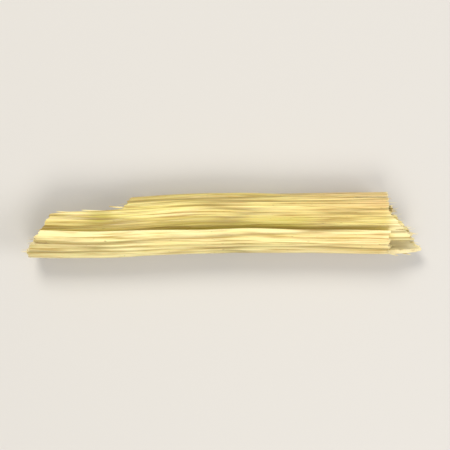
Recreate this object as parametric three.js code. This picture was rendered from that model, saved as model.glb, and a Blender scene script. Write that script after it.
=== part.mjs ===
// A cut piece of dried lemongrass stalk: two leaf sheaths, one rolled inside the other.
// Millimetres, +Z up. X runs along the stalk, Y across it, and Z = 0 is the surface it lies on.

import * as THREE from 'three';

// Size and lie of the whole stalk
const stalk = {
  rightReach: 18.95, // tip of the slanting right end
  leftReach: -18.95, // tip of the outer sheath's tongue
  axisShift: 0.34, // middle of the roll, off the middle of the width
  bend: 0.5, // sideways step of the left part, made between the next two places
  bendStart: -1,
  bendEnd: -13,
  taper: 0.02, // how much narrower than its middle the left tip is
  wave: 0.012, // slow swelling and thinning along the length
  flatDepth: 0.2, // how much the underside is pressed flat
  toOrigin: [0.11, 0.2], // brings the middle of the box over the origin
};

// Outer sheath: rolled past a full turn, so that its free margin lies on top of the tucked one.
// Angles are in degrees, from +Y towards +Z, and fall from the tucked margin to the free one.
const outer = {
  halfWidth: 2.22, // of the roll, to the middle of the wall
  halfHeight: 1.94,
  wall: 0.6,
  marginWall: 0.48, // wall at the very edge of both margins
  tuckedMargin: 148,
  turn: 408,
  marginWave: 1.6, // degrees by which the free margin wanders
  marginLean: 8, // degrees by which it stops short in the right part
  lift: 0.85, // step by which the free margin climbs over the tucked one
  liftStart: -138,
  liftEnd: -210,
  ribs: 40,
  ribHeight: 0.11,
  coveredTo: 104, // the wall is smooth from the tucked margin to here
  coveredFade: 8,
  pressed: [14, 30], // degrees off the underside over which the ribs rise from the flat
  rows: 18,
};

// Ends of the outer sheath
const outerCut = {
  tongueFrom: -2.6, // from this Y the tongue's end runs back
  tongueSlope: 0.65, // by this much for each mm towards +Y
  flankEnd: -10.6, // the broken flank starts here, where Y is 0
  flankSlope: 0.7,
  flankTop: 55, // lengthwise breaks beside the flank, on top and below
  flankBottom: -97,
  breakWidth: 10, // degrees over which each break runs out
  right: 15.5, // the upper flank and the flap end here
  slantFrom: 1, // below this Y the cut slants on towards the tip
  slant: 1, // mm forward for each mm towards -Y
  flap: -176, // from this angle on, over flapBreak degrees, the flap is torn back to the square cut
  flapBreak: 24,
  split: { angle: 34, depth: 4.2, halfWidth: 4 },
  ragged: 0.16, // how far single fibres end before or past the cut
  raggedTurns: 64, // how often that changes round the sheath
};

// Inner sheath: a roll that stays open along its underside, its last margin curled in to the middle
const inner = {
  halfWidth: 1.3,
  halfHeight: 0.97,
  wall: 0.6,
  marginWall: 0.48,
  firstMargin: 243,
  turn: 312,
  curlIn: 0.5, // share by which the roll tightens towards the last margin
  curlStart: 70,
  curlEnd: -60,
  ribs: 18,
  ribHeight: 0.06,
  rows: 16,
};

// Ends of the inner sheath
const innerCut = {
  left: -12.6,
  leftSlope: 0.7,
  standOut: 0.45, // how far it stands out of the outer sheath at the slanting end
  ragged: 0.16,
  raggedTurns: 32,
};

const marginShare = 0.06; // share of a leaf's width over which it thins to its margin
const rightEndShift = 30; // gives the right ends another ragged line than the left ones
const rollHeight = outer.halfHeight + outer.wall / 2 + outer.ribHeight / 2 - stalk.flatDepth;
const radians = THREE.MathUtils.degToRad;
const { lerp, smoothstep } = THREE.MathUtils;

// Rises from 0 to 1 as a value goes from start to end, whichever of the two is larger
function ramp(value, start, end) {
  return smoothstep((value - start) / (end - start), 0, 1);
}

// Uneven cut: each fibre ends a little before or past its neighbours
function raggedness(step, depth) {
  const wave = 0.5 * Math.sin(step * 2.3) + 0.3 * Math.sin(step * 4.9 + 1) + 0.2 * Math.sin(step * 9.1);
  return depth * wave;
}

// The stalk's own axis: its place across and its thickness at a distance x along it
function axisY(x) {
  return stalk.axisShift - stalk.bend * ramp(x, stalk.bendStart, stalk.bendEnd);
}

function girth(x) {
  return 1 + stalk.taper * x / stalk.rightReach + stalk.wave * Math.sin(0.4 * x + 2);
}

// A wall is thinner at both of its margins
function wallAt(v, leaf) {
  const edge = Math.min(v, 1 - v);
  return lerp(leaf.marginWall, leaf.wall, smoothstep(edge, 0, marginShare));
}

// A leaf is one closed thin shell: a grid of points on its outer face, a second one on its inner face,
// and a rim that joins them along both margins and both ends. v runs from margin to margin.
function leafShell({ columns, rows, middle, thickness, rib, leftEnd, rightEnd }) {
  const positions = [];
  const triangles = [];
  const stepV = 1e-4;

  const addPoint = (x, v, side) => {
    const [y, z] = middle(v, x);
    const [yBefore, zBefore] = middle(v - stepV, x);
    const [yAfter, zAfter] = middle(v + stepV, x);
    const along = new THREE.Vector2(yAfter - yBefore, zAfter - zBefore).normalize();
    const reach = side * thickness(v) / 2 + (side > 0 ? rib(v) : 0);
    positions.push(x, y - along.y * reach, Math.max(z + along.x * reach, 0));
  };

  for (const side of [1, -1]) {
    for (let row = 0; row <= rows; row += 1) {
      for (let column = 0; column <= columns; column += 1) {
        const v = column / columns;
        addPoint(lerp(leftEnd(v), rightEnd(v), row / rows), v, side);
      }
    }
  }

  const faceSize = (rows + 1) * (columns + 1);
  const outside = (row, column) => row * (columns + 1) + column;
  const inside = (row, column) => faceSize + outside(row, column);
  const quad = (a, b, c, d) => triangles.push(a, b, c, a, c, d);

  for (let row = 0; row < rows; row += 1) {
    for (let column = 0; column < columns; column += 1) {
      const [r, c] = [row + 1, column + 1];
      quad(outside(row, column), outside(r, column), outside(r, c), outside(row, c));
      quad(inside(row, column), inside(row, c), inside(r, c), inside(r, column));
    }
    quad(outside(row + 1, 0), outside(row, 0), inside(row, 0), inside(row + 1, 0));
    quad(outside(row, columns), outside(row + 1, columns), inside(row + 1, columns), inside(row, columns));
  }
  for (let column = 0; column < columns; column += 1) {
    const c = column + 1;
    quad(outside(0, column), outside(0, c), inside(0, c), inside(0, column));
    quad(outside(rows, c), outside(rows, column), inside(rows, column), inside(rows, c));
  }

  const geometry = new THREE.BufferGeometry();
  geometry.setAttribute('position', new THREE.Float32BufferAttribute(positions, 3));
  geometry.setIndex(triangles);
  geometry.computeVertexNormals();
  return geometry;
}

// Outer sheath

function outerAngle(v, x) {
  // two slow waves and a lean, felt only near the free margin
  const wander = Math.sin(x * 0.23 + 1) + 0.5 * Math.sin(x * 0.61);
  const lean = outer.marginLean * ramp(x, stalk.bendEnd, stalk.bendStart);
  const stray = (outer.marginWave * wander - lean) * ramp(v, 0.8, 1);
  return outer.tuckedMargin - (outer.turn + stray) * v;
}

function outerMiddle(v, x) {
  const angle = outerAngle(v, x);
  const climb = outer.lift * ramp(angle, outer.liftStart, outer.liftEnd);
  const y = (outer.halfWidth * girth(x) + climb) * Math.cos(radians(angle));
  const z = rollHeight + (outer.halfHeight * girth(x) + climb) * Math.sin(radians(angle));
  return [axisY(x) + y, Math.max(z, outer.wall / 2)];
}

// Ribs run the length of the sheath, and fade where the wall is covered or pressed flat
function outerRib(v) {
  const angle = outerAngle(v, 0);
  const crest = 0.5 - 0.5 * Math.cos(2 * Math.PI * outer.ribs * v);
  const uncovered = ramp(angle, outer.coveredTo, outer.coveredTo - outer.coveredFade);
  const unpressed = smoothstep(Math.abs(angle + 90), ...outer.pressed);
  return outer.ribHeight * crest * uncovered * unpressed;
}

function outerLeft(v) {
  const angle = outerAngle(v, 0);
  const [y] = outerMiddle(v, stalk.leftReach);
  const tongue = stalk.leftReach + outerCut.tongueSlope * Math.max(y - outerCut.tongueFrom, 0);
  const belowTop = ramp(angle, outerCut.flankTop + outerCut.breakWidth, outerCut.flankTop);
  const aboveBottom = ramp(angle, outerCut.flankBottom - outerCut.breakWidth, outerCut.flankBottom);
  const flank = outerCut.flankEnd + outerCut.flankSlope * y;
  const uneven = raggedness(v * outerCut.raggedTurns, outerCut.ragged);
  return lerp(tongue, flank, belowTop * aboveBottom) + uneven;
}

// The slanting cut at the right end, which went through every leaf: how far it reaches at Y
function slantingCut(y) {
  return outerCut.right + outerCut.slant * Math.max(outerCut.slantFrom - y, 0);
}

function outerRight(v) {
  const angle = outerAngle(v, 0);
  const [y] = outerMiddle(v, stalk.rightReach);
  const { split, flap, flapBreak } = outerCut;
  const notch = split.depth * Math.max(1 - Math.abs(angle - split.angle) / split.halfWidth, 0);
  const end = lerp(slantingCut(y), outerCut.right, ramp(angle, flap, flap - flapBreak));
  return end - notch + raggedness(v * outerCut.raggedTurns + rightEndShift, outerCut.ragged);
}

// Inner sheath

function innerAngle(v) {
  return inner.firstMargin - inner.turn * v;
}

function innerMiddle(v, x) {
  const angle = innerAngle(v);
  const size = girth(x) * (1 - inner.curlIn * ramp(angle, inner.curlStart, inner.curlEnd));
  const y = inner.halfWidth * size * Math.cos(radians(angle));
  const z = inner.halfHeight * size * Math.sin(radians(angle));
  return [axisY(x) + y, rollHeight + z];
}

function innerRib(v) {
  return inner.ribHeight * (0.5 - 0.5 * Math.cos(2 * Math.PI * inner.ribs * v));
}

function innerLeft(v) {
  const [y] = innerMiddle(v, innerCut.left);
  return innerCut.left + innerCut.leftSlope * y + raggedness(v * innerCut.raggedTurns, innerCut.ragged);
}

function innerRight(v) {
  const [y] = innerMiddle(v, stalk.rightReach);
  const uneven = raggedness(v * innerCut.raggedTurns + rightEndShift, innerCut.ragged);
  return slantingCut(y) + innerCut.standOut + uneven;
}

// A leaf and its own finish
function leaf(name, shell, colour, roughness) {
  const material = new THREE.MeshStandardMaterial({ color: colour, roughness, metalness: 0 });
  const mesh = new THREE.Mesh(leafShell(shell), material);
  mesh.name = name;
  return mesh;
}

const outerSheath = leaf('outer_sheath', {
  columns: outer.ribs * 2,
  rows: outer.rows,
  middle: outerMiddle,
  thickness: (v) => wallAt(v, outer),
  rib: outerRib,
  leftEnd: outerLeft,
  rightEnd: outerRight,
}, 0xdccb86, 0.45);

const innerSheath = leaf('inner_sheath', {
  columns: inner.ribs * 2,
  rows: inner.rows,
  middle: innerMiddle,
  thickness: (v) => wallAt(v, inner),
  rib: innerRib,
  leftEnd: innerLeft,
  rightEnd: innerRight,
}, 0xc6b56c, 0.5);

const group = new THREE.Group();
group.add(outerSheath, innerSheath);
group.position.set(...stalk.toOrigin, 0);

export default group;
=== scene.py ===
import math
import random

import bpy
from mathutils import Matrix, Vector, noise


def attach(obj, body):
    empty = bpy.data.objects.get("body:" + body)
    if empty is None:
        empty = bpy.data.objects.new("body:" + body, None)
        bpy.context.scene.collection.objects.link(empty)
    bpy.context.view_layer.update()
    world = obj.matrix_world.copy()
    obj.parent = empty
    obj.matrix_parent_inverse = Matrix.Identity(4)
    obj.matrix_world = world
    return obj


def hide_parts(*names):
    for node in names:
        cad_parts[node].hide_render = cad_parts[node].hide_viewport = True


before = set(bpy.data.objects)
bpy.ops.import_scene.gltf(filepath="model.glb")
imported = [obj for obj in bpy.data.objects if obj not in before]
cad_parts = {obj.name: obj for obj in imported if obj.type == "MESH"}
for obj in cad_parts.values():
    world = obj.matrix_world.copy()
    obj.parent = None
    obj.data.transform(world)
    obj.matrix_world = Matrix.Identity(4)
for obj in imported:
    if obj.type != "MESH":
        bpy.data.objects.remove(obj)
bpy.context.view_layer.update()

print("frame loaded:", ", ".join(sorted(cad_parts)))

mm = 0.001

# lie of the whole stalk, in mm, the same as in the solid model
stalk = {
    "leftReach": -18.95,
    "rightReach": 18.95,
    "axisShift": 0.34,
    "bend": 0.5,  # sideways step of the left part
    "bendStart": -1,
    "bendEnd": -13,
    "taper": 0.02,
    "wave": 0.012,  # slow swelling and thinning along the length
    "rollHeight": 2.095,  # height of the roll's middle above the surface
    "toOrigin": Vector((0.11, 0.2, 0)),
}


def mix(a, b, share):
    return a + (b - a) * share


def ramp(value, start, end):
    # 0 at start, 1 at end, eased at both
    t = min(max((value - start) / (end - start), 0), 1)
    return t * t * (3 - 2 * t)


def bump(value, middle, halfWidth):
    # 1 at the middle, 0 past the half width
    return ramp(abs(value - middle), halfWidth, 0)


def ragged(step, depth):
    # uneven cut, the same as in the solid model
    wave = 0.5 * math.sin(step * 2.3) + 0.3 * math.sin(step * 4.9 + 1) + 0.2 * math.sin(step * 9.1)
    return depth * wave


def axisY(x):
    return stalk["axisShift"] - stalk["bend"] * ramp(x, stalk["bendStart"], stalk["bendEnd"])


def girth(x):
    return 1 + stalk["taper"] * x / stalk["rightReach"] + stalk["wave"] * math.sin(0.4 * x + 2)


def grain(a, b, c):
    # smooth noise, from about -1 to 1
    return noise.noise(Vector((a, b, c)))


# materials

def hexColour(code):
    # sRGB hex to linear
    channels = [int(code[i:i + 2], 16) / 255 for i in (1, 3, 5)]
    linear = [c / 12.92 if c <= 0.04045 else ((c + 0.055) / 1.055) ** 2.4 for c in channels]
    return (*linear, 1)


def addNode(tree, kind, inputs=None, stops=None, **settings):
    # adds a node, sets its options, its ramp stops and its inputs, or links them
    node = tree.nodes.new("ShaderNode" + kind)
    for name, value in settings.items():
        setattr(node, name, value)
    for place, colour in stops or []:
        elements = node.color_ramp.elements
        spare = [e for e in elements if e.position == place]
        element = spare[0] if spare else elements.new(place)
        element.color = colour
    for socket, value in (inputs or {}).items():
        if isinstance(value, bpy.types.NodeSocket):
            tree.links.new(value, node.inputs[socket])
        else:
            node.inputs[socket].default_value = value
    return node


def newMaterial(name):
    material = bpy.data.materials.new(name)
    material.use_nodes = True
    material.node_tree.nodes.clear()
    return material, material.node_tree


def fibrePattern(tree, place, grainMm, detail):
    # noise drawn out along the leaf; grainMm is how long and how wide its grains are
    length, width = grainMm
    drawnOut = addNode(tree, "Mapping", {"Vector": place, "Scale": (1 / length, 1 / width, 1)})
    pattern = addNode(tree, "TexNoise", {
        "Vector": drawnOut.outputs[0],
        "Scale": 1,
        "Detail": detail,
        "Roughness": 0.6,
    })
    return pattern.outputs[0]


# Dried grass leaf, outer skin: it dried in the air with its wax still on, so it is straw to olive in
# lengthwise streaks and has a low sheen that breaks along the fibres; dust and painted shade make it darker
# between its ribs.
def waxedSkin(name, look):
    material, tree = newMaterial(name)
    place = addNode(tree, "Attribute", attribute_name="leafPlace").outputs["Vector"]
    crest = addNode(tree, "Attribute", attribute_name="ribCrest").outputs["Fac"]
    olive = addNode(tree, "Attribute", attribute_name="oliveTone").outputs["Fac"]
    pale = addNode(tree, "Attribute", attribute_name="paleTone").outputs["Fac"]
    tan = addNode(tree, "Attribute", attribute_name="tanTone").outputs["Fac"]

    # streaks, the broad ones two veins wide and the narrow ones thinner than a vein
    broad = fibrePattern(tree, place, look["streakMm"], 5)
    narrow = fibrePattern(tree, place, look["threadMm"], 3)
    straw = addNode(tree, "ValToRGB", {"Fac": broad}, stops=[
        (0.0, hexColour(look["dark"])),
        (0.42, hexColour(look["middle"])),
        (0.56, hexColour(look["light"])),
        (1.0, hexColour(look["lightest"])),
    ])

    # cloudy change from straw to tan, a few millimetres across
    cloud = fibrePattern(tree, place, look["cloudMm"], 3)
    cloudTan = addNode(tree, "MapRange", {
        "Value": cloud,
        "From Min": 0.42,
        "From Max": 0.68,
        "To Max": 0.5,
    })
    tanShare = addNode(tree, "Math", {0: cloudTan.outputs[0], 1: tan}, operation="ADD", use_clamp=True)
    strawTan = addNode(tree, "Mix", {
        0: tanShare.outputs[0],
        6: straw.outputs[0],
        7: hexColour(look["tan"]),
    }, data_type="RGBA")

    # olive where the skin was covered and stayed green; the olive line in the groove beside the raised band
    # is partly painted shade
    oliveShare = addNode(tree, "Math", {0: olive, 1: broad}, operation="MULTIPLY", use_clamp=True)
    withOlive = addNode(tree, "Mix", {
        0: oliveShare.outputs[0],
        6: strawTan.outputs[2],
        7: hexColour(look["olive"]),
    }, data_type="RGBA")

    # pale at the free margin and past the cuts, where the skin dried out most; along the raised band the
    # paleness is a painted highlight, and at the slanting end it is also painted light in the shaded trough
    withPale = addNode(tree, "Mix", {
        0: pale,
        6: withOlive.outputs[2],
        7: hexColour(look["pale"]),
    }, data_type="RGBA")

    # dark threads of fibre show through the skin
    threadShare = addNode(tree, "MapRange", {
        "Value": narrow,
        "From Min": 0.52,
        "From Max": 0.36,
        "To Max": look["threadShare"],
    })
    threaded = addNode(tree, "Mix", {
        0: threadShare.outputs[0],
        6: withPale.outputs[2],
        7: hexColour(look["thread"]),
    }, data_type="RGBA", blend_type="MULTIPLY")

    # dust and shade sit in the furrows
    furrow = addNode(tree, "MapRange", {
        "Value": crest,
        "From Min": 0.5,
        "From Max": 0,
        "To Max": look["valleyShare"],
    })
    withFurrows = addNode(tree, "Mix", {
        0: furrow.outputs[0],
        6: threaded.outputs[2],
        7: hexColour(look["valley"]),
    }, data_type="RGBA")

    # brown specks, longer than wide
    speck = fibrePattern(tree, place, look["speckMm"], 3)
    speckShare = addNode(tree, "MapRange", {
        "Value": speck,
        "From Min": 0.66,
        "From Max": 0.74,
        "To Max": 0.7,
    })
    colour = addNode(tree, "Mix", {
        0: speckShare.outputs[0],
        6: withFurrows.outputs[2],
        7: hexColour(look["speck"]),
    }, data_type="RGBA")

    relief = addNode(tree, "Bump", {
        "Height": narrow,
        "Strength": look["fibreStrength"],
        "Distance": 0.04 * mm,
    })
    rough = addNode(tree, "MapRange", {
        "Value": broad,
        "From Min": 0.3,
        "From Max": 0.7,
        "To Min": look["roughness"][0],
        "To Max": look["roughness"][1],
    })
    shader = addNode(tree, "BsdfPrincipled", {
        "Base Color": colour.outputs[2],
        "Roughness": rough.outputs[0],
        "Normal": relief.outputs[0],
        "IOR": 1.48,  # leaf wax
        "Coat Weight": look["wax"],
        "Coat Roughness": 0.24,
        "Subsurface Weight": 0.08,
        "Subsurface Scale": 0.4 * mm,
    })
    addNode(tree, "OutputMaterial", {"Surface": shader.outputs[0]})
    return material


# Dried grass leaf, inner face: it never had wax, so it is smooth, paler and duller, with fine even lines.
def innerFace(name, look):
    material, tree = newMaterial(name)
    place = addNode(tree, "Attribute", attribute_name="leafPlace").outputs["Vector"]
    pale = addNode(tree, "Attribute", attribute_name="paleTone").outputs["Fac"]
    line = fibrePattern(tree, place, look["insideMm"], 4)
    lined = addNode(tree, "ValToRGB", {"Fac": line}, stops=[
        (0.0, hexColour(look["insideDark"])),
        (0.5, hexColour(look["inside"])),
        (1.0, hexColour(look["insideLight"])),
    ])
    # mixed towards insidePale by the paleness tone, which at the slanting end is partly painted light in
    # the shaded trough
    colour = addNode(tree, "Mix", {
        0: pale,
        6: lined.outputs[0],
        7: hexColour(look["insidePale"]),
    }, data_type="RGBA")
    relief = addNode(tree, "Bump", {"Height": line, "Strength": 0.5, "Distance": 0.04 * mm})
    rough = addNode(tree, "MapRange", {"Value": line, "To Min": 0.45, "To Max": 0.65})
    shader = addNode(tree, "BsdfPrincipled", {
        "Base Color": colour.outputs[2],
        "Roughness": rough.outputs[0],
        "Normal": relief.outputs[0],
        "IOR": 1.45,
    })
    addNode(tree, "OutputMaterial", {"Surface": shader.outputs[0]})
    return material


# Dried grass leaf, cut edge: the blade tore the fibres, so it is pale, matte and spongy, with the
# vein bundles as darker dots.
def tornEdge(name, look):
    material, tree = newMaterial(name)
    place = addNode(tree, "Attribute", attribute_name="leafPlace").outputs["Vector"]
    sponge = addNode(tree, "TexNoise", {
        "Vector": place,
        "Scale": 1 / look["poreMm"],
        "Detail": 4,
        "Roughness": 0.7,
    })
    length, width = look["bundleMm"]
    bundlePlace = addNode(tree, "Mapping", {"Vector": place, "Scale": (1 / length, 1 / width, 1)})
    bundle = addNode(tree, "TexVoronoi", {"Vector": bundlePlace.outputs[0], "Scale": 1})
    dots = addNode(tree, "MapRange", {
        "Value": bundle.outputs["Distance"],
        "From Min": 0.28,
        "From Max": 0.1,
        "To Max": 0.6,
    })
    pith = addNode(tree, "ValToRGB", {"Fac": sponge.outputs[0]}, stops=[
        (0.0, hexColour(look["cutDark"])),
        (0.45, hexColour(look["cut"])),
        (1.0, hexColour(look["cutLight"])),
    ])
    colour = addNode(tree, "Mix", {
        0: dots.outputs[0],
        6: pith.outputs[0],
        7: hexColour(look["cutDark"]),
    }, data_type="RGBA")
    relief = addNode(tree, "Bump", {"Height": sponge.outputs[0], "Strength": 0.8, "Distance": 0.06 * mm})
    rough = addNode(tree, "MapRange", {"Value": sponge.outputs[0], "To Min": 0.7, "To Max": 0.95})
    shader = addNode(tree, "BsdfPrincipled", {
        "Base Color": colour.outputs[2],
        "Roughness": rough.outputs[0],
        "Normal": relief.outputs[0],
        "IOR": 1.4,
    })
    addNode(tree, "OutputMaterial", {"Surface": shader.outputs[0]})
    return material


def leafFinish(name, look):
    return [
        waxedSkin(name + "WaxedSkin", look),
        innerFace(name + "InnerFace", look),
        tornEdge(name + "TornEdge", look),
    ]


# one leaf as a closed thin shell

cutEdge = {
    "fray": 0.09,  # how far fibres stand out of a cut edge, and how fast that changes round the leaf
    "frayTurns": 90,
    "frayLayers": 4,  # and through its wall
    "patternDepth": 0.6,  # what the materials take for the wall's thickness
    "crispAngle": 52,  # faces that meet at more than this many degrees keep a sharp edge
}

toneNames = ("ribCrest", "oliveTone", "paleTone", "tanTone")


def newValues():
    # what each point carries for its material: its place on the leaf, and its tones
    return {key: [] for key in ("leafPlace", *toneNames)}


def addValues(values, place, tones):
    values["leafPlace"].extend(place)
    for name, tone in zip(toneNames, tones):
        values[name].append(tone)


def growLeaf(name, grid, middle, offsets, ends, marks, finishes):
    # each column of the grid is a closed ring of points: along the outer face, over the cut edge,
    # back along the inner face and over the other cut edge
    columns, rows, rim = grid["columns"], grid["rows"], grid["rim"]
    sheet = []
    for column in range(columns + 1):
        v = column / columns
        left, right = ends(v)
        line = []
        for row in range(rows + 1):
            u = row / rows
            closer = 0.5 - 0.5 * math.cos(math.pi * u)  # more rows near both ends
            x = mix(left, right, mix(u, closer, 0.5))
            line.append(Vector((x, *middle(v, x))))
        sheet.append(line)

    points = []
    values = newValues()

    def addPoint(point, v, depth):
        point.z = max(point.z, 0)
        points.append((point + stalk["toOrigin"]) * mm)
        place = (point.x, v * grid["acrossMm"], depth * cutEdge["patternDepth"])
        addValues(values, place, marks(v, point.x))

    def addCutEdge(start, end, v, depths, seed):
        for step in range(1, rim):
            share = step / rim
            strand = grain(v * cutEdge["frayTurns"], share * cutEdge["frayLayers"], seed)
            fray = cutEdge["fray"] * math.sin(math.pi * share) * strand
            addPoint(mix(start, end, share) + Vector((fray, 0, 0)), v, mix(*depths, share))

    for column in range(columns + 1):
        v = column / columns
        outside = []
        inside = []
        before = sheet[max(column - 1, 0)]
        after = sheet[min(column + 1, columns)]
        line = sheet[column]
        for row in range(rows + 1):
            along = line[min(row + 1, rows)] - line[max(row - 1, 0)]
            outward = along.cross(after[row] - before[row]).normalized()
            outer, inner = offsets(v, line[row].x)
            outside.append(line[row] + outward * outer)
            inside.append(line[row] + outward * inner)
        for point in outside:
            addPoint(point.copy(), v, 0)
        addCutEdge(outside[-1], inside[-1], v, (0, 1), seed=5)
        for point in reversed(inside):
            addPoint(point.copy(), v, 1)
        addCutEdge(inside[0], outside[0], v, (1, 0), seed=9)

    ring = 2 * rows + 2 * rim
    farSide = rows + rim  # where the ring turns back along the inner face
    faces = []
    finishOf = []  # 0 is the outer skin, 1 the inner face and 2 the cut edge
    for column in range(columns):
        here = column * ring
        there = here + ring
        for q in range(ring):
            r = (q + 1) % ring
            faces.append((here + q, here + r, there + r, there + q))
            onRim = rows <= q < farSide or q >= farSide + rows
            finishOf.append(2 if onRim else 1 if q >= farSide else 0)
    last = columns * ring
    for row in range(rows):
        innerRow = farSide + rows - row
        faces.append((row + 1, row, innerRow, innerRow - 1))
        faces.append((last + row, last + row + 1, last + innerRow - 1, last + innerRow))
        finishOf += [0, 0]
    rightRim = list(range(rows, farSide + 1))
    leftRim = [0, *range(ring - 1, farSide + rows - 1, -1)]
    faces += [tuple(reversed(rightRim)), tuple(leftRim)]
    faces += [tuple(last + q for q in rightRim), tuple(last + q for q in reversed(leftRim))]
    finishOf += [2, 2, 2, 2]
    return makePiece(name, points, faces, finishOf, values, finishes)


def makePiece(name, points, faces, finishOf, values, finishes):
    mesh = bpy.data.meshes.new(name)
    mesh.from_pydata(points, [], faces)
    for finish in finishes:
        mesh.materials.append(finish)
    mesh.polygons.foreach_set("material_index", finishOf)
    for key, numbers in values.items():
        isPlace = key == "leafPlace"
        attribute = mesh.attributes.new(key, "FLOAT_VECTOR" if isPlace else "FLOAT", "POINT")
        attribute.data.foreach_set("vector" if isPlace else "value", numbers)
    mesh.polygons.foreach_set("use_smooth", [True] * len(faces))
    mesh.set_sharp_from_angle(angle=math.radians(cutEdge["crispAngle"]))
    mesh.update()
    piece = bpy.data.objects.new(name, mesh)
    bpy.context.scene.collection.objects.link(piece)
    print(name, "made:", len(faces), "faces")
    return piece


# outer sheath: angles are in degrees, from +Y towards +Z, and fall from the tucked margin to the
# free one; v is 0 at the tucked margin and 1 at the free one

outerSheath = {
    "halfWidth": 2.22,
    "halfHeight": 1.94,
    "wall": 0.6,
    "tuckedMargin": 148,
    "turn": 408,
    "marginWave": 1.6,  # degrees by which the free margin wanders
    "marginLean": 8,  # degrees by which the free margin stops short in the right part
    "lift": 0.85,  # step by which the free margin climbs over the tucked one
    "liftStart": -138,
    "liftEnd": -210,
    "ribs": 40,
    "ribWander": 0.005,  # share of the turn by which a rib strays, and how fast along and across
    "wanderRate": (0.09, 7),
    "veinHeight": 0.06,
    "veinStrength": (0.75, 0.5),  # mean and change from vein to vein, and how fast it changes
    "strengthRate": (1.7, 0.11),
    "furrow": 0.075,
    "reliefLift": 0.055,  # raises veins and furrows to the height of the solid's ribs
    "dent": 0.07,  # depth of the slow dents, and how fast they change along and round
    "dentRate": (0.16, 0.02),
    "undented": (20, 50),  # degrees off the underside over which the dents begin
    "coveredTo": 104,
    "coveredFade": 8,
    "pressed": (14, 30),  # degrees off the underside over which the ribs rise from the flat
    "innerOffset": 0.01,
    "flapOffset": -0.1,  # the flap's underside lies closer to the tucked margin
    "hug": (-175, -215),  # between these angles it comes down to it
    "insideVein": 0.02,
    "paperyWidth": 0.9,  # the free margin is papery, thinner from both faces and smoother
    "paperyTop": 0.1,
    "paperyUnder": 0.06,
    "paperySmooth": 0.6,
    "curlWidth": 0.7,  # its very edge curls up and down, a little more down than up
    "curl": 0.09,
    "curlDown": 0.03,
    "curlRate": 0.3,
    "tuckedWidth": 0.8,  # the tucked margin thins to this height over its middle
    "tuckedTop": 0.12,
    "grid": {"columns": 320, "rows": 130, "rim": 5, "acrossMm": 17},
}

outerCut = {
    "tongueFrom": -2.6,
    "tongueSlope": 0.65,
    "flankEnd": -10.6,
    "flankSlope": 0.7,
    "flankTop": 55,
    "flankBottom": -97,
    "breakWidth": 10,
    "right": 15.5,
    "slantFrom": 1,
    "slant": 1,
    "flap": -176,
    "flapBreak": 24,
    "ragged": 0.16,
    "raggedTurns": 64,
    "fringe": 0.16,  # finer unevenness of single fibres
    "fringeTurns": 150,
    # angle, depth in mm and half width in degrees of each split
    "rightSplits": [(34, 4.2, 2.6), (-20, 1.6, 2), (-150, 2.6, 2), (-228, 1.4, 1.6), (112, 1.2, 2)],
    "leftSplits": [(-178, 2.6, 2), (-128, 1.4, 1.8), (-232, 1.7, 1.8), (18, 1.5, 2), (-52, 2.1, 2)],
}

rightEndShift = 30  # gives the right ends another ragged line than the left ones

# Tones of the outer skin: how strong each is, and where it begins and ends or, where the name says
# Middle, its middle and half width. Names in X are in mm, in Angle in degrees, in Share in v.
outerTones = {
    "line": 1.5,  # olive line in the groove beside the raised band, partly greener skin and partly painted shade
    "lineAngle": (68, 98),
    "lineShare": (0.5, 0.4),
    "lineLeft": 0.1,  # what is left of it at the left and at the right
    "lineLeftX": (-8.5, -4.5),
    "lineRight": 0.5,
    "lineRightX": (6, 11),
    "patch": 1.6,  # olive patch near the left end
    "patchMiddleX": (-12.1, 2.2),
    "patchMiddleAngle": (74, 30),
    "greener": 0.45,  # left of the upper flank
    "greenerX": (-4, -9),
    "greenerShare": (0.55, 0.45),
    "oliveMost": 1.8,
    "tan": 0.5,  # right of the upper flank, and how far the olive line keeps it off
    "tanX": (2, 11),
    "tanOffLine": 0.8,
    "band": 0.45,  # painted highlight along the raised band's side, on paler dried skin, less towards the right end
    "bandMiddleAngle": (-206, 60),
    "bandRight": 0.3,
    "bandRightX": (7, 13),
    "tongue": 0.6,  # and most of all on the tongue
    "tongueMiddleAngle": (-222, 76),
    "tongueX": (-5.5, -9),
    "marginEdge": 0.5,
    "marginEdgeWidth": 0.4,
    "flapEnd": 0.3,
    "flapEndMiddleX": (15.4, 0.8),
    "flapEndShare": (0.8, 0.86),
    "openEndPaleAndLit": 0.8,  # the slanting end dried paler from both faces, and painted light lifts the shaded trough there
    "openEndPaleAndLitX": (15, 16.4),
}

outerLook = {
    "dark": "#B5A14A",
    "middle": "#E7D57C",
    "light": "#F0E08E",
    "lightest": "#F7EAA8",
    "tan": "#EACB8B",
    # olive colour, also painted as shade in the groove beside the raised band
    "olive": "#B5A73A",
    # darker colour in the furrows: dust, and painted shade
    "valley": "#9A823E",
    "valleyShare": 0.8,
    # pale colour: dried skin, and also the painted highlight on the raised band and the painted light at
    # the slanting end
    "pale": "#F8EDB2",
    "speck": "#7B5C2C",
    "streakMm": (11, 0.45),
    "threadMm": (7, 0.16),
    "thread": "#BA9F60",
    "threadShare": 0.85,
    "cloudMm": (8, 2.5),
    "speckMm": (0.8, 0.2),
    "fibreStrength": 0.7,
    "roughness": (0.5, 0.32),
    "wax": 0.25,
    "inside": "#E5D595",
    "insideDark": "#B8A364",
    "insideLight": "#F6ECC0",
    # inner face's pale colour, partly painted light in the shaded trough at the slanting end
    "insidePale": "#FBF0C4",
    "insideMm": (6, 0.22),
    "cut": "#E6D5A0",
    "cutDark": "#A68D56",
    "cutLight": "#F6ECCA",
    "poreMm": 0.12,
    "bundleMm": (3, 0.42),
}


def outerAngle(v, x):
    # two slow waves and a lean, felt only near the free margin
    wander = math.sin(x * 0.23 + 1) + 0.5 * math.sin(x * 0.61)
    lean = outerSheath["marginLean"] * ramp(x, stalk["bendEnd"], stalk["bendStart"])
    stray = (outerSheath["marginWave"] * wander - lean) * ramp(v, 0.8, 1)
    return outerSheath["tuckedMargin"] - (outerSheath["turn"] + stray) * v


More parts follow.
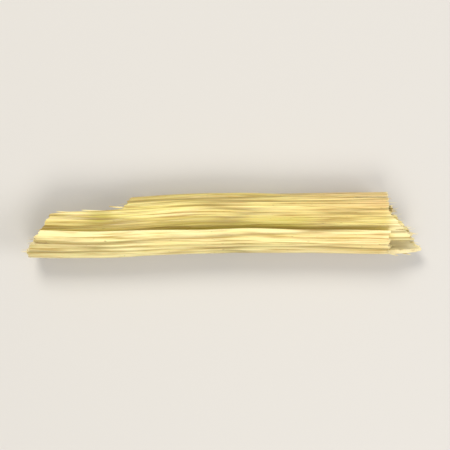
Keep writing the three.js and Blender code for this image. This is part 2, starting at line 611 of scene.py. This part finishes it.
def outerMiddle(v, x):
    angle = outerAngle(v, x)
    climb = outerSheath["lift"] * ramp(angle, outerSheath["liftStart"], outerSheath["liftEnd"])
    y = (outerSheath["halfWidth"] * girth(x) + climb) * math.cos(math.radians(angle))
    z = (outerSheath["halfHeight"] * girth(x) + climb) * math.sin(math.radians(angle))
    # slow dents from drying, which leave the flat underside level
    alongRate, roundRate = outerSheath["dentRate"]
    dent = outerSheath["dent"] * grain(x * alongRate, angle * roundRate, 2)
    y -= dent * math.cos(math.radians(angle))
    z -= dent * math.sin(math.radians(angle)) * ramp(abs(angle + 90), *outerSheath["undented"])
    return axisY(x) + y, max(stalk["rollHeight"] + z, outerSheath["wall"] / 2)


def ribPhase(v, x, leaf, seed):
    # ribs wander a little as they run along
    alongRate, acrossRate = leaf["wanderRate"]
    return leaf["ribs"] * (v + leaf["ribWander"] * grain(x * alongRate, v * acrossRate, seed))


veins = {
    "sharpness": 2.2,
    "fineHeight": 0.3,  # of the finer vein in the valley, beside 1 for the main one
    "fineSharpness": 4,
    # dried furrows of two widths: how fast each changes across and along, and how deep the narrow is
    "wideRate": (0.85, 0.05),
    "narrowRate": (2.3, 0.1),
    "narrowDepth": 0.5,
}


def ribShape(phase):
    # a narrow vein with a flatter valley on each side, and a finer vein in the valley
    main = (0.5 - 0.5 * math.cos(2 * math.pi * phase)) ** veins["sharpness"]
    fine = (0.5 + 0.5 * math.cos(2 * math.pi * phase)) ** veins["fineSharpness"]
    return main + veins["fineHeight"] * fine


def furrowLine(across, x, rate, seed):
    # 1 along the bottom of a sharp furrow, 0 beside it
    line = 1 - abs(2 * grain(across * rate[0], x * rate[1], seed))
    return max(line, 0) ** 3


def wrinkles(across, x, depth):
    # sharp lengthwise furrows from drying
    wide = furrowLine(across, x, veins["wideRate"], 21)
    narrow = furrowLine(across, x, veins["narrowRate"], 22)
    return -depth * (wide + veins["narrowDepth"] * narrow)


def outerRelief(v, x):
    # veins and furrows together, in mm
    phase = ribPhase(v, x, outerSheath, 4)
    mean, change = outerSheath["veinStrength"]
    veinRate, alongRate = outerSheath["strengthRate"]
    strength = mean + change * grain(math.floor(phase) * veinRate, x * alongRate, 3)
    vein = outerSheath["veinHeight"] * ribShape(phase) * strength
    return vein + wrinkles(v * outerSheath["grid"]["acrossMm"], x, outerSheath["furrow"])


def outerOffsets(v, x):
    # how far the outer and the inner face lie off the middle of the wall
    leaf = outerSheath
    across = v * leaf["grid"]["acrossMm"]
    edge = (1 - v) * leaf["grid"]["acrossMm"]
    angle = outerAngle(v, 0)
    uncovered = ramp(angle, leaf["coveredTo"], leaf["coveredTo"] - leaf["coveredFade"])
    shown = uncovered * ramp(abs(angle + 90), *leaf["pressed"])
    relief = (outerRelief(v, x) + leaf["reliefLift"]) * shown
    thin = ramp(edge, leaf["paperyWidth"], 0)
    swing = leaf["curl"] * grain(x * leaf["curlRate"], 3, 7) - leaf["curlDown"]
    curl = swing * ramp(edge, leaf["curlWidth"], 0)
    smoother = 1 - leaf["paperySmooth"] * thin
    outer = leaf["wall"] / 2 - leaf["paperyTop"] * thin + relief * smoother + curl
    hug = ramp(angle, *leaf["hug"])
    flapUnder = mix(leaf["flapOffset"], leaf["paperyUnder"], thin)
    inner = mix(leaf["innerOffset"], flapUnder, hug) + curl
    inner -= leaf["insideVein"] * ribShape(ribPhase(v, x, leaf, 4)) * (1 - hug)
    return mix(outer, leaf["tuckedTop"], ramp(across, leaf["tuckedWidth"], 0)), inner


def notches(splits, angle):
    return sum(depth * max(1 - abs(angle - at) / halfWidth, 0) for at, depth, halfWidth in splits)


def slantingCut(y):
    # the cut that went through every leaf at the right end
    return outerCut["right"] + outerCut["slant"] * max(outerCut["slantFrom"] - y, 0)


def unevenEnd(v, cut, shift=0):
    return ragged(v * cut["raggedTurns"] + shift, cut["ragged"])


def fringe(v, cut, seed):
    return cut["fringe"] * grain(v * cut["fringeTurns"], seed, seed)


def outerEnds(v):
    cut = outerCut
    angle = outerAngle(v, 0)
    leftY = outerMiddle(v, stalk["leftReach"])[0]
    tongue = stalk["leftReach"] + cut["tongueSlope"] * max(leftY - cut["tongueFrom"], 0)
    belowTop = ramp(angle, cut["flankTop"] + cut["breakWidth"], cut["flankTop"])
    aboveBottom = ramp(angle, cut["flankBottom"] - cut["breakWidth"], cut["flankBottom"])
    flank = cut["flankEnd"] + cut["flankSlope"] * leftY
    left = mix(tongue, flank, belowTop * aboveBottom) + unevenEnd(v, cut)
    left += notches(cut["leftSplits"], angle) + fringe(v, cut, 1)
    slanting = slantingCut(outerMiddle(v, stalk["rightReach"])[0])
    tornBack = ramp(angle, cut["flap"], cut["flap"] - cut["flapBreak"])
    right = mix(slanting, cut["right"], tornBack) + unevenEnd(v, cut, rightEndShift)
    right -= notches(cut["rightSplits"], angle) + fringe(v, cut, 2)
    return left, right


def crestTone(relief, leaf):
    # 0 in the deepest furrow, 1 on the highest vein
    return min(max((relief + leaf["furrow"]) / (leaf["furrow"] + leaf["veinHeight"]), 0), 1)


def outerMarks(v, x):
    tones = outerTones
    angle = outerAngle(v, x)
    crest = crestTone(outerRelief(v, x), outerSheath)

    # the olive line along the groove beside the raised band is partly painted shade
    besideMargin = ramp(angle, *tones["lineAngle"]) * ramp(v, *tones["lineShare"])
    deepness = mix(tones["lineLeft"], 1, ramp(x, *tones["lineLeftX"]))
    deepness *= mix(1, tones["lineRight"], ramp(x, *tones["lineRightX"]))
    patch = bump(x, *tones["patchMiddleX"]) * bump(angle, *tones["patchMiddleAngle"])
    greener = tones["greener"] * ramp(x, *tones["greenerX"]) * ramp(v, *tones["greenerShare"])
    olive = tones["line"] * besideMargin * deepness + tones["patch"] * patch + greener

    tan = tones["tan"] * ramp(x, *tones["tanX"]) * (1 - tones["tanOffLine"] * besideMargin)

    # painted highlight along the raised band, weaker to the right and strongest on the tongue
    band = tones["band"] * bump(angle, *tones["bandMiddleAngle"])
    band *= mix(1, tones["bandRight"], ramp(x, *tones["bandRightX"]))
    tongue = tones["tongue"] * bump(angle, *tones["tongueMiddleAngle"]) * ramp(x, *tones["tongueX"])
    edge = (1 - v) * outerSheath["grid"]["acrossMm"]
    marginEdge = tones["marginEdge"] * ramp(edge, tones["marginEdgeWidth"], 0)
    flapEnd = bump(x, *tones["flapEndMiddleX"]) * ramp(v, *tones["flapEndShare"])
    # paler at the slanting end: partly dried skin, partly painted light lifting the shaded trough
    openEndPaleAndLit = tones["openEndPaleAndLit"] * ramp(x, *tones["openEndPaleAndLitX"])
    pale = max(band, tongue) + marginEdge + max(tones["flapEnd"] * flapEnd, openEndPaleAndLit)
    return crest, min(olive, tones["oliveMost"]), min(pale, 1), tan


outerFinish = leafFinish("driedOuterSheath", outerLook)
outerPiece = growLeaf(
    "outerSheathDressed", outerSheath["grid"], outerMiddle, outerOffsets, outerEnds, outerMarks, outerFinish
)
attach(outerPiece, "root")
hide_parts("outer_sheath")


# inner sheath

innerSheath = {
    "halfWidth": 1.3,
    "halfHeight": 0.97,
    "wall": 0.6,
    "firstMargin": 243,
    "turn": 312,
    "curlIn": 0.5,  # share by which the roll tightens towards its last margin
    "curlStart": 70,
    "curlEnd": -60,
    "ribs": 18,
    "ribWander": 0.006,
    "wanderRate": (0.1, 5),
    "veinHeight": 0.045,
    "furrow": 0.05,
    "furrowShift": 40,  # gives it other furrows than the outer sheath has
    "innerOffset": 0,
    "marginWidth": 0.7,  # both margins thin to this height over their middle
    "marginTop": 0.12,
    "grid": {"columns": 144, "rows": 120, "rim": 5, "acrossMm": 6.6},
}

innerCut = {
    "left": -12.6,
    "leftSlope": 0.7,
    "standOut": 0.45,  # how far it stands out of the outer sheath at the slanting end
    "ragged": 0.16,
    "raggedTurns": 32,
    "fringe": 0.14,
    "fringeTurns": 80,
    "rightSplits": [(70, 1.3, 5), (150, 1.8, 5)],
    "leftSplits": [(100, 1.1, 5), (10, 1.6, 5)],
}

# tones of the inner sheath: greener where the outer one covered it, and paler past it, where the paleness
# is partly painted light in the shaded trough
innerTones = {
    "covered": 0.9,
    "coveredX": (16.6, 15.6),
    "pale": 0.7,
    "paleX": (15.6, 17.2),
    "tan": 0.25,
}

innerLook = dict(
    outerLook,
    dark="#A3923F",
    middle="#DACA6E",
    light="#E8D984",
    lightest="#F5E9A4",
    olive="#998C38",
    # darker colour in the furrows: dust, and painted shade
    valley="#917D38",
    streakMm=(8, 0.32),
    wax=0.12,
)


def innerAngle(v):
    return innerSheath["firstMargin"] - innerSheath["turn"] * v


def innerMiddle(v, x):
    angle = innerAngle(v)
    curl = innerSheath["curlIn"] * ramp(angle, innerSheath["curlStart"], innerSheath["curlEnd"])
    size = girth(x) * (1 - curl)
    y = innerSheath["halfWidth"] * size * math.cos(math.radians(angle))
    z = innerSheath["halfHeight"] * size * math.sin(math.radians(angle))
    return axisY(x) + y, stalk["rollHeight"] + z


def innerRelief(v, x):
    phase = ribPhase(v, x, innerSheath, 6)
    across = v * innerSheath["grid"]["acrossMm"] + innerSheath["furrowShift"]
    return innerSheath["veinHeight"] * ribShape(phase) + wrinkles(across, x, innerSheath["furrow"])


def innerOffsets(v, x):
    edge = min(v, 1 - v) * innerSheath["grid"]["acrossMm"]
    outer = innerSheath["wall"] / 2 + innerRelief(v, x)
    thin = ramp(edge, innerSheath["marginWidth"], 0)
    return mix(outer, innerSheath["marginTop"], thin), innerSheath["innerOffset"]


def innerEnds(v):
    cut = innerCut
    angle = innerAngle(v)
    left = cut["left"] + cut["leftSlope"] * innerMiddle(v, cut["left"])[0] + unevenEnd(v, cut)
    left += notches(cut["leftSplits"], angle) + fringe(v, cut, 3)
    slanting = slantingCut(innerMiddle(v, stalk["rightReach"])[0])
    right = slanting + cut["standOut"] + unevenEnd(v, cut, rightEndShift)
    right -= notches(cut["rightSplits"], angle) + fringe(v, cut, 4)
    return left, right


def innerMarks(v, x):
    tones = innerTones
    crest = crestTone(innerRelief(v, x), innerSheath)
    olive = tones["covered"] * ramp(x, *tones["coveredX"])
    # paler past the outer sheath: partly painted light lifting the shaded trough at the slanting end
    return crest, olive, tones["pale"] * ramp(x, *tones["paleX"]), tones["tan"]


innerFinish = leafFinish("driedInnerSheath", innerLook)
innerPiece = growLeaf(
    "innerSheathDressed", innerSheath["grid"], innerMiddle, innerOffsets, innerEnds, innerMarks, innerFinish
)
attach(innerPiece, "root")
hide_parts("inner_sheath")


# torn fibres at the cuts and along the break

fibres = {
    "seed": 11,
    "outerCount": 130,
    "innerCount": 50,
    "length": (0.3, 1.2),
    "radius": (0.02, 0.04),
    "rooted": 0.35,  # how deep each one starts inside the wall
    "clearOfMargins": (0.03, 0.97),
    "atRight": 0.55,  # share of them at the right end
    "stray": 0.012,  # share of the turn by which a tip strays
    "curl": 0.22,
    "rise": 0.05,
    "tipThinning": 0.75,
    "steps": 7,
    "sides": 5,
    "tones": (1, 0, 0.5, 0.3),  # in the order of toneNames
    "sliverSteps": 16,
    "sliverOut": 0.18,  # a strip starts this far out from the wall's middle and bends away further
    "sliverAway": (0.16, 0.22),
    "sliverLift": 0.4,  # share of that which lifts it
    "sliverThinning": 0.7,
    "sliverFlatness": 0.35,
    # angle on the outer sheath, start and end along X, and width of each strip peeled at the tears
    "slivers": [
        (60, -9.8, -13.8, 0.11),
        (63, -12.5, -16.2, 0.09),
        (-101, -10.4, -13.6, 0.12),
        (51, -9.2, -11.2, 0.1),
        (-182, 15.6, 17.9, 0.09),
        (-190, 14.9, 16.6, 0.08),
    ],
}


def addStrand(points, faces, values, path, sizes, flat):
    # a tapered strand round a path, closed at both ends
    sides = fibres["sides"]
    first = len(points)
    for index, place in enumerate(path):
        along = (path[min(index + 1, len(path) - 1)] - path[max(index - 1, 0)]).normalized()
        across = along.cross(Vector((0, 0, 1))).normalized()
        upward = across.cross(along)
        size = sizes[index]
        for side in range(sides):
            turn = 2 * math.pi * side / sides
            offset = across * math.cos(turn) * size + upward * math.sin(turn) * size * flat
            spot = place + offset
            spot.z = max(spot.z, 0)
            points.append((spot + stalk["toOrigin"]) * mm)
            addValues(values, (spot.x, spot.y + spot.z, 0), fibres["tones"])
    rings = len(path)
    for index in range(rings - 1):
        for side in range(sides):
            a = first + index * sides + side
            b = first + index * sides + (side + 1) % sides
            faces.append((a, a + sides, b + sides, b))
    faces.append(tuple(first + side for side in range(sides)))
    faces.append(tuple(first + (rings - 1) * sides + side for side in reversed(range(sides))))


def cutFibres(rng, middle, ends, count, addTo):
    # single fibres that stand out of a leaf's two cut ends
    for _ in range(count):
        v = rng.uniform(*fibres["clearOfMargins"])
        atRight = rng.random() < fibres["atRight"]
        way = 1 if atRight else -1
        start = ends(v)[1 if atRight else 0] - way * fibres["rooted"]
        length = fibres["rooted"] + rng.uniform(*fibres["length"]) * rng.random()
        stray = rng.uniform(-fibres["stray"], fibres["stray"])
        curl = rng.uniform(-fibres["curl"], fibres["curl"])
        thick = rng.uniform(*fibres["radius"])
        path = []
        sizes = []
        for step in range(fibres["steps"]):
            share = step / (fibres["steps"] - 1)
            x = start + way * length * share
            y, z = middle(v + stray * share * share, x)
            swing = curl * share * share
            path.append(Vector((x, y + swing, z + fibres["rise"] + swing * 0.5)))
            sizes.append(thick * (1 - fibres["tipThinning"] * share))
        addStrand(*addTo, path, sizes, 1)


def peeledSlivers(addTo):
    # narrow strips that came half away along the breaks
    straight, bent = fibres["sliverAway"]
    steps = fibres["sliverSteps"]
    for angle, start, end, width in fibres["slivers"]:
        v = (outerSheath["tuckedMargin"] - angle) / outerSheath["turn"]
        turn = math.radians(angle)
        path = []
        sizes = []
        for step in range(steps):
            share = step / (steps - 1)
            x = mix(start, end, share)
            y, z = outerMiddle(v, x)
            away = straight * share + bent * share * share
            outY = (fibres["sliverOut"] + away) * math.cos(turn)
            outZ = (fibres["sliverOut"] + away * fibres["sliverLift"]) * math.sin(turn)
            path.append(Vector((x, y + outY, z + outZ)))
            sizes.append(width * (1 - fibres["sliverThinning"] * share * share))
        addStrand(*addTo, path, sizes, fibres["sliverFlatness"])


def makeFibres(name, finish, fill):
    points = []
    faces = []
    values = newValues()
    fill((points, faces, values))
    return makePiece(name, points, faces, [0] * len(faces), values, [finish])


def fillOuter(addTo):
    cutFibres(random.Random(fibres["seed"]), outerMiddle, outerEnds, fibres["outerCount"], addTo)
    peeledSlivers(addTo)


def fillInner(addTo):
    cutFibres(random.Random(fibres["seed"] + 1), innerMiddle, innerEnds, fibres["innerCount"], addTo)


outerFibres = makeFibres("outerSheathFibres", outerFinish[0], fillOuter)
innerFibres = makeFibres("innerSheathFibres", innerFinish[0], fillInner)
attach(outerFibres, "root")
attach(innerFibres, "root")


# floor, light and camera

studio = {
    "floorSize": 1.2,
    "floorColour": "#CAC7C2",
    "skyColour": "#F6F7FA",
    "skyStrength": 0.45,
    "viewWidth": 43.5 * mm,  # how much the camera sees at the next height
    "viewHeight": 2.6 * mm,
    "lens": 100,
    "sensor": 36,
    "clipStart": 0.005,
    # name, place, size, watts and colour of each soft light
    "lights": [
        ("keyLight", (-0.08, 0.18, 0.25), 0.13, 0.58, "#FFFBF2"),
        ("sheenLight", (0.02, -0.18, 0.22), 0.15, 0.35, "#FFFBF2"),
        ("fillLight", (0.22, -0.05, 0.17), 0.16, 0.32, "#FAFAFF"),
    ],
}


# Matte paper-like board, rolled smooth: a pale ground with only a soft shade in it
def paleBoard():
    material, tree = newMaterial("matteBoardRolled")
    place = addNode(tree, "TexCoord").outputs["Object"]
    tooth = addNode(tree, "TexNoise", {"Vector": place, "Scale": 1 / (0.6 * mm), "Detail": 3})
    relief = addNode(tree, "Bump", {"Height": tooth.outputs[0], "Strength": 0.06, "Distance": 0.02 * mm})
    shader = addNode(tree, "BsdfPrincipled", {
        "Base Color": hexColour(studio["floorColour"]),
        "Roughness": 0.75,
        "Normal": relief.outputs[0],
    })
    addNode(tree, "OutputMaterial", {"Surface": shader.outputs[0]})
    return material


def makeFloor():
    half = studio["floorSize"] / 2
    corners = [(-half, -half, 0), (half, -half, 0), (half, half, 0), (-half, half, 0)]
    mesh = bpy.data.meshes.new("floor")
    mesh.from_pydata(corners, [], [(0, 1, 2, 3)])
    mesh.materials.append(paleBoard())
    floor = bpy.data.objects.new("floor", mesh)
    bpy.context.scene.collection.objects.link(floor)


def addAreaLight(name, place, size, watts, colour):
    light = bpy.data.lights.new(name, "AREA")
    light.shape = "DISK"
    light.size = size
    light.energy = watts
    light.color = hexColour(colour)[:3]
    lamp = bpy.data.objects.new(name, light)
    lamp.location = place
    lamp.rotation_euler = (-Vector(place)).to_track_quat("-Z", "Y").to_euler()
    bpy.context.scene.collection.objects.link(lamp)


def makeCamera():
    data = bpy.data.cameras.new("camera")
    data.lens = studio["lens"]
    data.sensor_width = studio["sensor"]
    data.clip_start = studio["clipStart"]
    camera = bpy.data.objects.new("camera", data)
    distance = studio["viewWidth"] * studio["lens"] / studio["sensor"]
    camera.location = (0, 0, studio["viewHeight"] + distance)
    bpy.context.scene.collection.objects.link(camera)
    bpy.context.scene.camera = camera


def makeSky():
    world = bpy.data.worlds.new("studio")
    world.use_nodes = True
    sky = world.node_tree.nodes["Background"]
    sky.inputs["Color"].default_value = hexColour(studio["skyColour"])
    sky.inputs["Strength"].default_value = studio["skyStrength"]
    bpy.context.scene.world = world


makeFloor()
for light in studio["lights"]:
    addAreaLight(*light)
makeSky()
makeCamera()
bpy.context.scene.view_settings.view_transform = "Standard"
print("studio ready")
